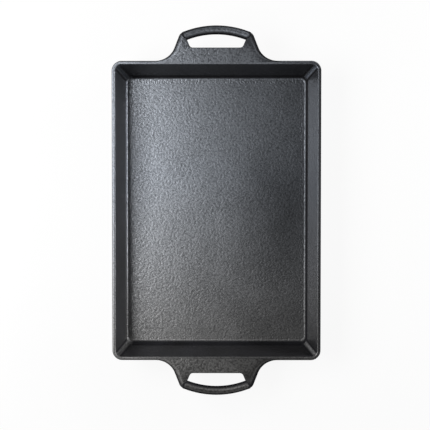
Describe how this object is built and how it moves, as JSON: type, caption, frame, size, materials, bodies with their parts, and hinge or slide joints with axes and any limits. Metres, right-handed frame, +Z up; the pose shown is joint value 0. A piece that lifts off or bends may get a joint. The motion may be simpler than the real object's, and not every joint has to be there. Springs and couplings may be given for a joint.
{
  "type": "baking pan",
  "caption": "Rectangular cast-iron baking pan with sloped smooth walls, a pebbled flat floor, a narrow rounded rim and a flat loop handle with a raised grip at each short end.",
  "frame": {"origin": "centre of the underside, on the table", "axes": "+Z up, +Y along the pan towards the rear handle, +X across it"},
  "size_m": [0.282, 0.499, 0.052],
  "materials": {
    "floor": "pebbled, seasoned",
    "wall": "smooth, seasoned",
    "handle": "fine sand-cast, seasoned"
  },
  "bodies": {
    "root": {"base_plate": "floor", "left_wall": "wall", "right_wall": "wall", "front_wall": "wall", "rear_wall": "wall", "front_left_corner": "wall", "front_right_corner": "wall", "rear_left_corner": "wall", "rear_right_corner": "wall", "front_web": "handle", "rear_web": "handle", "front_left_arm": "handle", "front_right_arm": "handle", "rear_left_arm": "handle", "rear_right_arm": "handle", "front_grip": "handle", "rear_grip": "handle"}
  },
  "joints": []
}
